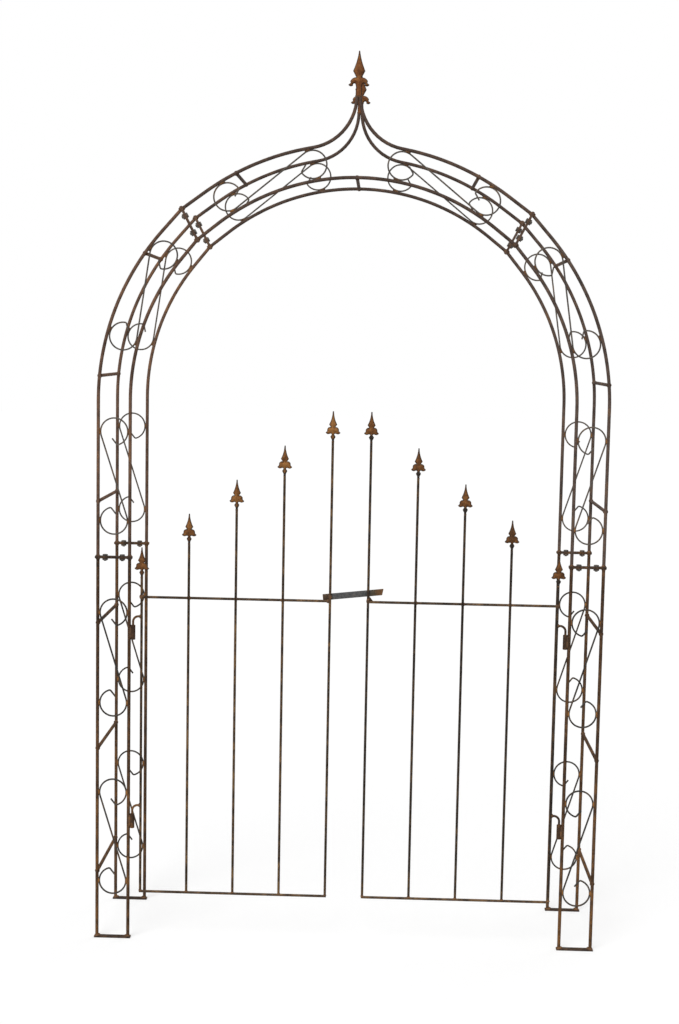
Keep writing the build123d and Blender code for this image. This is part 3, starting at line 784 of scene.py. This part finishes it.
def leafSpears(bm, tints, knobShare):
    for index, (x, tip) in enumerate(barSpots):
        tint = tints[0] + (tints[1] - tints[0]) * index / (len(barSpots) - 1)
        point = Vector((x, -face, tip - spear["height"]))
        stamp(bm, spearForm, point, tint, knobShare * spear["height"])


for side, mirrored in sides:
    makePiece(f"{side}_leaf_spearheads_cast", f"{side}_leaf", "spear",
              lambda bm: leafSpears(bm, spearTint[side], darkKnob[side]),
              [f"{side}_leaf_spearheads"], mirrored, spear["crust"], spear["sharp"])
for node, y in (("front_finial", -face), ("back_finial", face)):
    foot = Vector((0, y, finialLow[2]))
    makePiece(f"{node}_cast", "arch", "finial", lambda bm: stamp(bm, finialForm, foot, 0.0), [node], False,
              finial["crust"], finial["sharp"])
for form in (spearForm, finialForm):
    bpy.data.meshes.remove(form)
print("spearheads and finials cast")

# latch: a flat bar on a stud of the left leaf
latch = {"length": 0.158, "tail": 0.019, "wide": 0.016, "thick": 0.004, "slant": 0.005, "tilt": 6.4,
         "edge": 0.0006, "corner": 0.8, "hole": 0.00308, "holeSteps": 20, "holeRoom": 0.0045,
         "stud": 0.003, "studHead": 0.0055, "studHeadThick": 0.003, "studCrown": (0.86, 0.5)}
studLow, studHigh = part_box("latch_stud")
pivot = Vector(((studLow[0] + studHigh[0]) / 2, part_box("latch_bar")[0][1], (studLow[2] + studHigh[2]) / 2))


def latchBar(bm):
    head = latch["length"] - latch["tail"]
    half = latch["wide"] / 2
    plan = ((-latch["tail"], -half), (head - latch["slant"], -half), (head, half), (-latch["tail"], half))
    corners = [bm.verts.new((x, 0, z)) for x, z in plan]
    rim = [bm.edges.new((corners[index - 1], corners[index])) for index in range(len(corners))]
    flat = Matrix.Rotation(math.radians(90), 4, "X")
    hole = bmesh.ops.create_circle(bm, segments=latch["holeSteps"], radius=latch["hole"],
                                   matrix=flat)["verts"]
    filled = bmesh.ops.triangle_fill(bm, edges=rim + edgesOf(hole), use_beauty=True)["geom"]
    front = [part for part in filled if isinstance(part, bmesh.types.BMFace)]
    grown = bmesh.ops.extrude_face_region(bm, geom=front, use_keep_orig=True)["geom"]
    bmesh.ops.translate(bm, vec=(0, latch["thick"], 0), verts=[part for part in grown if isVert(part)])
    bmesh.ops.recalc_face_normals(bm, faces=bm.faces)
    outside = [edge for edge in bm.edges  # the sharp edges, without those of the hole
               if len(edge.link_faces) == 2 and edge.calc_face_angle() > latch["corner"]
               and min(vert.co.xz.length for vert in edge.verts) > latch["holeRoom"]]
    bevelEdges(bm, outside, latch["edge"])
    bmesh.ops.transform(bm, matrix=Matrix.Translation(pivot) @ turned(latch["tilt"]), verts=bm.verts)


def latchStud(bm):
    length = studHigh[1] - studLow[1]
    neck = length - latch["studHeadThick"]
    shank, head, lip = latch["stud"], latch["studHead"], latch["edge"]
    shoulder, crown = [head * share for share in latch["studCrown"]]
    profile = [(0, 0), (shank, 0), (shank, neck), (head - lip, neck), (head, neck + lip),
               (shoulder, length - lip), (crown, length), (0, length)]
    place = shifted(pivot.x, studLow[1], pivot.z) @ Matrix.Rotation(math.radians(-90), 4, "X")
    drawLathe(bm, profile, place)


makePiece("latch_bar_steel", "latch", "latch", latchBar, ["latch_bar"])
makePiece("latch_stud_steel", "left_leaf", "hinge", latchStud, ["latch_stud"])
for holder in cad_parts["latch_catch"].material_slots:
    holder.material = finishes["hinge"][0]
print("latch made")

# welds: fillets round the bar ends and lumps where bars touch, a lump by its half sizes in x, y and z
weld = {"railReach": 0.0028, "railRise": 0.0048, "rungReach": 0.0024, "rungRise": 0.004,
        "leafReach": 0.002, "leafRise": 0.0036, "topShare": 1.02, "slopeShares": ((0.3, 0.55), (0.75, 0.2)),
        "steps": 18, "seatShare": 0.8, "thin": 0.0036, "run": 0.008, "socketShare": 0.42,
        "baseCorner": 0.0048, "baseRise": 0.004, "baseLift": 0.001, "spearFoot": (0.0036, 0.0036, 0.0024),
        "upperStile": (0.0058, 0.0042, 0.007), "hookEnd": (0.0036, 0.0044, 0.0052),
        "finialFoot": (0.0092, 0.0056, 0.005), "beadLevel": 3, "crust": (0.0011, 0.0), "sharp": 80}
latchBead = {"stud": ((0, -0.0008, 0), (0.0046, 0.0032, 0.0066)),  # shift from the stile, half sizes
             "rail": ((-0.004, -0.0014, 0), (0.0062, 0.0034, 0.005)),
             "catch": ((0, -0.0012, 0.003), (0.0046, 0.0034, 0.008))}
pointing = {"down": Matrix.Rotation(math.pi, 4, "X"), "back": Matrix.Rotation(-math.pi / 2, 4, "X"),
            "front": Matrix.Rotation(math.pi / 2, 4, "X"), "right": Matrix.Rotation(math.pi / 2, 4, "Y"),
            "left": Matrix.Rotation(-math.pi / 2, 4, "Y")}


def drawFillet(bm, place, radius, reach, rise):  # a ring that thins out along the bar, local z along it
    slope = [(radius + reach * out, rise * along) for out, along in weld["slopeShares"]]
    profile = [(0, rise), (radius * weld["topShare"], rise), *slope, (radius + reach, 0), (0, 0)]
    drawLathe(bm, profile, place, weld["steps"])


def drawBead(bm, point, size, heading=0.0):
    place = Matrix.Translation(point) @ turned(heading) @ Matrix.Diagonal((*size, 1))
    bmesh.ops.create_icosphere(bm, subdivisions=weld["beadLevel"], radius=1, matrix=place)


def rungFillets(bm, spots):
    for spot in spots:
        for y, way in ((-face + stock["rail"], "back"), (face - stock["rail"], "front")):
            place = shifted(spot.x, y, spot.z) @ pointing[way]
            drawFillet(bm, place, stock["rung"], weld["rungReach"], weld["rungRise"])


def archWelds(bm):
    rungFillets(bm, postRungs + quarterRungs)
    ends = []
    for x in (innerRail, outerRail):
        ends.append(shifted(x, 0, baseTop))
        ends.append(shifted(x, 0, lowerJoint - plate["thick"]) @ pointing["down"])
        ends.append(shifted(x, 0, lowerJoint + plate["thick"]))
    for corner in (outerCorner, innerCorner):
        joint = Matrix.Translation(corner) @ turned(jointHeading)
        ends.append(joint @ shifted(0, 0, plate["thick"]))
        ends.append(joint @ shifted(0, 0, -plate["thick"]) @ pointing["down"])
    for y in faces:
        for end in ends:
            drawFillet(bm, shifted(0, y, 0) @ end, stock["rail"], weld["railReach"], weld["railRise"])
        for x, inward in ((innerRail, 1), (outerRail, -1)):  # more weld in the inner corners of the base
            spot = Vector((x + inward * weld["baseCorner"], y, baseTop + weld["baseLift"]))
            drawBead(bm, spot, (weld["baseCorner"], weld["baseCorner"], weld["baseRise"]))
    for foot in socketFeet:  # sockets on the front inner rails
        for y in (-face - stock["rail"], -face + stock["rail"]):
            spot = Vector((innerRail - stock["rail"], y, foot + hinge["length"] / 2))
            drawBead(bm, spot, (weld["thin"], weld["thin"], hinge["length"] * weld["socketShare"]))


def scrollWelds(bm):  # where the loops touch the rails
    for place, pitch in postScrolls + quarterScrolls + crownScrolls:
        turn = -math.degrees(math.atan2(place[0][2], place[2][2]))
        for y in faces:
            for across in (-1, 1):
                for along in (-1, 1):
                    local = Vector((across * (panelWidth / 2 - stock["rail"]), y, along * pitch / 2))
                    drawBead(bm, place @ local, (weld["thin"], weld["thin"], weld["run"]), turn)


def leafWelds(bm):
    bar = stock["leafBar"]
    seat = bar * weld["seatShare"]
    for x, tip in barSpots:
        drawFillet(bm, shifted(x, -face, leaf["bottom"] + seat), bar, weld["leafReach"], weld["leafRise"])
        drawBead(bm, Vector((x, -face, tip - spear["height"])), weld["spearFoot"])
    for (outside, _), (inside, _) in zip(barSpots, barSpots[1:]):
        for stile, x, way in ((outside, outside - seat, "left"), (inside, inside + seat, "right")):
            if stile != barSpots[-1][0]:  # there the latch lies close behind
                place = shifted(x, -face, leaf["upper"]) @ pointing[way]
                drawFillet(bm, place, bar, weld["leafReach"], weld["leafRise"])
    drawBead(bm, Vector((leaf["hingeStile"], -face, leaf["upper"])), weld["upperStile"])
    for foot in socketFeet:
        spot = Vector((leaf["hingeStile"] + bar, -face, foot + hinge["length"] + hinge["rise"]))
        drawBead(bm, spot, weld["hookEnd"])


def crownWelds(bm):
    rungFillets(bm, crownRungs)
    for y in faces:
        drawBead(bm, Vector((0, y, finialLow[2])), weld["finialFoot"])


def latchWelds(bm):  # lumps round the stud on the left meeting stile
    for key, height in (("stud", pivot.z), ("rail", leaf["upper"])):
        shift, size = latchBead[key]
        drawBead(bm, Vector((pivot.x, -face, height)) + Vector(shift), size)


def catchWelds(bm):
    shift, size = latchBead["catch"]
    drawBead(bm, Vector((leaf["meetingStile"], -face, leaf["upper"])) + Vector(shift), size)


for side, mirrored in sides:
    rows = ((archWelds, "arch_welds", "arch", "arch_weld"),
            (scrollWelds, "scroll_welds", "arch", "scroll_weld"),
            (leafWelds, "leaf_welds", f"{side}_leaf", "leaf_weld"))
    for build, node, body, finish in rows:
        makePiece(f"{side}_{node}", body, finish, build, (), mirrored, weld["crust"], weld["sharp"])
middleRows = ((crownWelds, "crown_welds", "arch", "arch_weld"),
              (latchWelds, "latch_stud_welds", "left_leaf", "leaf_weld"),
              (catchWelds, "latch_catch_weld", "right_leaf", "leaf_weld"))
for build, name, body, finish in middleRows:
    makePiece(name, body, finish, build, (), False, weld["crust"], weld["sharp"])
print("welds laid")

# floor and light: the floor's own glow makes it white to the camera, and it still takes the shadow
stage = {"floorSize": 60.0, "floorShade": 0.5, "floorGlow": 0.49, "sky": 0.52, "backdrop": 1.0,
         "keyStrength": 2.2, "fillStrength": 0.5, "keySpot": (-1.6, -3.4, 3.3), "fillSpot": (2.4, 3.0, 2.4),
         "softness": 35}


def seenDirectly(nodes, links):  # camera, mirror and glass rays
    path = nodes.new("ShaderNodeLightPath")
    total = path.outputs["Is Camera Ray"]
    for ray in ("Is Glossy Ray", "Is Transmission Ray"):
        either = nodes.new("ShaderNodeMath")
        either.operation = "MAXIMUM"
        links.new(total, either.inputs[0])
        links.new(path.outputs[ray], either.inputs[1])
        total = either.outputs["Value"]
    return total


def floorMaterial():
    material = bpy.data.materials.new("studioFloor")
    material.use_nodes = True
    nodes, links = material.node_tree.nodes, material.node_tree.links
    nodes.remove(nodes["Principled BSDF"])
    strength = nodes.new("ShaderNodeMath")
    strength.operation = "MULTIPLY"
    links.new(seenDirectly(nodes, links), strength.inputs[0])
    strength.inputs[1].default_value = stage["floorGlow"]
    glow = nodes.new("ShaderNodeEmission")
    links.new(strength.outputs["Value"], glow.inputs["Strength"])
    matt = nodes.new("ShaderNodeBsdfDiffuse")
    shade = stage["floorShade"]
    matt.inputs["Color"].default_value = (shade, shade, shade, 1.0)
    both = nodes.new("ShaderNodeAddShader")
    links.new(glow.outputs["Emission"], both.inputs[0])
    links.new(matt.outputs["BSDF"], both.inputs[1])
    links.new(both.outputs["Shader"], nodes["Material Output"].inputs["Surface"])
    return material


bm = bmesh.new()
bmesh.ops.create_grid(bm, x_segments=1, y_segments=1, size=stage["floorSize"] / 2)
floorMesh = bpy.data.meshes.new("studio_floor")
bm.to_mesh(floorMesh)
bm.free()
floorMesh.materials.append(floorMaterial())
floor = bpy.data.objects.new("studio_floor", floorMesh)
bpy.context.scene.collection.objects.link(floor)

world = bpy.data.worlds.new("studio")
world.use_nodes = True
bpy.context.scene.world = world
skyNodes, skyLinks = world.node_tree.nodes, world.node_tree.links
sky = skyNodes["Background"]
sky.inputs["Color"].default_value = (1, 1, 1, 1)
skyLevel = skyNodes.new("ShaderNodeMapRange")
skyLevel.inputs["To Min"].default_value = stage["sky"]
skyLevel.inputs["To Max"].default_value = stage["backdrop"]
skyLinks.new(seenDirectly(skyNodes, skyLinks), skyLevel.inputs["Value"])
skyLinks.new(skyLevel.outputs["Result"], sky.inputs["Strength"])


def sunLamp(name, spot, strength):  # an even soft light from the side that spot lies on
    lamp = bpy.data.lights.new(name, "SUN")
    lamp.energy = strength
    lamp.angle = math.radians(stage["softness"])
    holder = bpy.data.objects.new(name, lamp)
    holder.rotation_euler = (-Vector(spot)).to_track_quat("-Z", "Y").to_euler()
    bpy.context.scene.collection.objects.link(holder)


sunLamp("key_light", stage["keySpot"], stage["keyStrength"])
sunLamp("fill_light", stage["fillSpot"], stage["fillStrength"])

# camera where the photograph was taken
view = {"spot": (0.07787, -4.21798, 1.56962), "yaw": -0.0262, "pitch": -0.1045, "roll": 0.0186,
        "focalPixels": 1598.462, "tallPixels": 1024, "sensor": 36.0}
level = Vector((math.cos(view["yaw"]), -math.sin(view["yaw"]), 0))
ahead = Vector((math.sin(view["yaw"]), math.cos(view["yaw"]), 0))
forward = ahead * math.cos(view["pitch"]) + Vector((0, 0, math.sin(view["pitch"])))
upright = level.cross(forward)
right = level * math.cos(view["roll"]) + upright * math.sin(view["roll"])
up = upright * math.cos(view["roll"]) - level * math.sin(view["roll"])
lens = bpy.data.cameras.new("photo_camera")
lens.sensor_width = view["sensor"]
lens.lens = view["focalPixels"] / view["tallPixels"] * view["sensor"]
camera = bpy.data.objects.new("photo_camera", lens)
camera.matrix_world = Matrix.Translation(view["spot"]) @ Matrix((right, up, -forward)).transposed().to_4x4()
bpy.context.scene.collection.objects.link(camera)
bpy.context.scene.camera = camera
bpy.context.scene.view_settings.view_transform = "Standard"
print("stage set")
